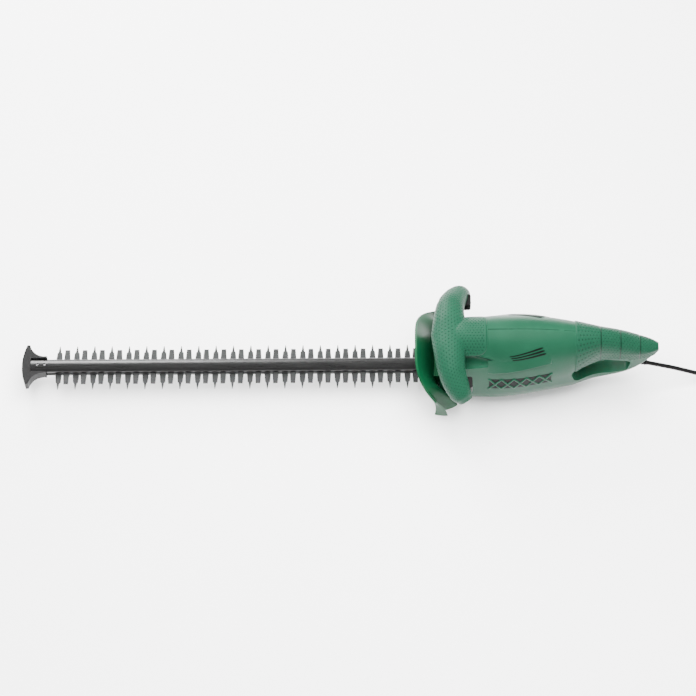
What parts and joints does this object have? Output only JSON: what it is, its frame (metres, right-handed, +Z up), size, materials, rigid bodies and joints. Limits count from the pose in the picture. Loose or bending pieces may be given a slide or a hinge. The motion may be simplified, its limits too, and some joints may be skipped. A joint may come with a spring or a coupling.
{
  "type": "hedge trimmer",
  "caption": "Corded hedge trimmer with a double-sided reciprocating blade, hand guard, winged front handle and D-shaped rear handle.",
  "frame": {"origin": "bottom centre of the tool without its cord, on the surface it rests on", "axes": "the blade points along -X, +Z up, the left side of the tool faces -Y"},
  "size_m": [1.049, 0.2446, 0.132],
  "materials": {
    "green_plastic": "satin moulded nylon, fine spark texture",
    "green_grip": "satin, dimpled grip texture",
    "dark_green_plastic": "satin moulded",
    "black_plastic": "satin moulded",
    "red_plastic": "satin moulded",
    "black_aluminium": "black coated, semi-gloss",
    "blade_steel": "ground, oiled",
    "gear_steel": "machined",
    "screw_steel": "zinc plated",
    "cast_aluminium": "die cast",
    "lamination_steel": "varnished laminations",
    "copper": "enamelled copper",
    "carbon": "pressed carbon",
    "cord_rubber": "smooth rubber sheath",
    "capacitor_film": "gloss film box",
    "plug_metal": "nickelled brass"
  },
  "bodies": {
    "frame": {"bar_screws": "screw_steel", "blade_clamp_bolt": "screw_steel", "blade_spacers": "screw_steel", "brush_holders": "black_plastic", "carbon_brushes": "carbon", "comb_blade": "blade_steel", "cord": "cord_rubber", "cord_clamp": "black_plastic", "cord_clip": "black_plastic", "cord_coil": "cord_rubber", "cord_tail": "cord_rubber", "field_coils": "copper", "front_handle_left": "green_grip", "front_handle_right": "green_grip", "front_microswitch": "black_plastic", "gear_axle": "gear_steel", "gearbox_base": "cast_aluminium", "gearbox_cover": "cast_aluminium", "gearbox_screws": "screw_steel", "guard_screws": "screw_steel", "guide_bar": "black_aluminium", "hand_guard": "dark_green_plastic", "handle_clamp_blocks": "black_plastic", "handle_screws": "screw_steel", "housing_left": "green_plastic", "housing_right": "green_plastic", "housing_screws": "screw_steel", "lever_springs": "gear_steel", "lower_bearing": "gear_steel", "plug_body": "black_plastic", "plug_pins": "plug_metal", "rear_grip_pad": "green_grip", "rear_microswitch": "black_plastic", "stator_core": "lamination_steel", "strain_relief": "cord_rubber", "suppression_capacitor": "capacitor_film", "tip_guard": "black_plastic", "tip_guard_screws": "screw_steel", "trigger_pin": "gear_steel", "upper_bearing": "gear_steel", "upper_bearing_cap": "black_plastic", "wing_screw": "screw_steel"},
    "drive_gear": {"drive_gear": "gear_steel", "crank_pin": "gear_steel"},
    "rotor": {"motor_shaft": "gear_steel", "motor_pinion": "gear_steel", "armature_core": "lamination_steel", "armature_winding": "copper", "commutator": "copper", "cooling_fan": "black_plastic"},
    "cutter": {"cutter_blade": "blade_steel"},
    "trigger": {"trigger": "red_plastic"},
    "lever_left": {"front_lever_left": "black_plastic"},
    "lever_right": {"front_lever_right": "black_plastic"}
  },
  "joints": [
    {"name": "gear_spin", "type": "hinge", "parent": "frame", "child": "drive_gear", "pos_m": [0.197, 0, 0.046], "axis": [0, 0, 1], "continuous": true},
    {"name": "rotor_spin", "type": "hinge", "parent": "frame", "child": "rotor", "pos_m": [0.233, 0, 0.046], "axis": [0, 0, 1], "continuous": true},
    {"name": "blade_slide", "type": "slide", "parent": "frame", "child": "cutter", "axis": [1, 0, 0], "range_m": [-0.011, 0.011]},
    {"name": "trigger_pull", "type": "hinge", "parent": "frame", "child": "trigger", "pos_m": [0.339, 0, 0.091], "axis": [0, -1, 0], "range_deg": [0, 5], "stiffness_Nm_per_rad": 1.5, "springref_deg": -2.86},
    {"name": "left_lever_press", "type": "slide", "parent": "frame", "child": "lever_left", "axis": [-1, 0, 0], "range_m": [0, 0.003], "stiffness_N_per_m": 300, "springref_m": -0.003},
    {"name": "right_lever_press", "type": "slide", "parent": "frame", "child": "lever_right", "axis": [-1, 0, 0], "range_m": [0, 0.003], "stiffness_N_per_m": 300, "springref_m": -0.003}
  ],
  "couplings": [
    {"joint": "rotor_spin", "follows": "gear_spin", "ratio": -4.3333}
  ]
}
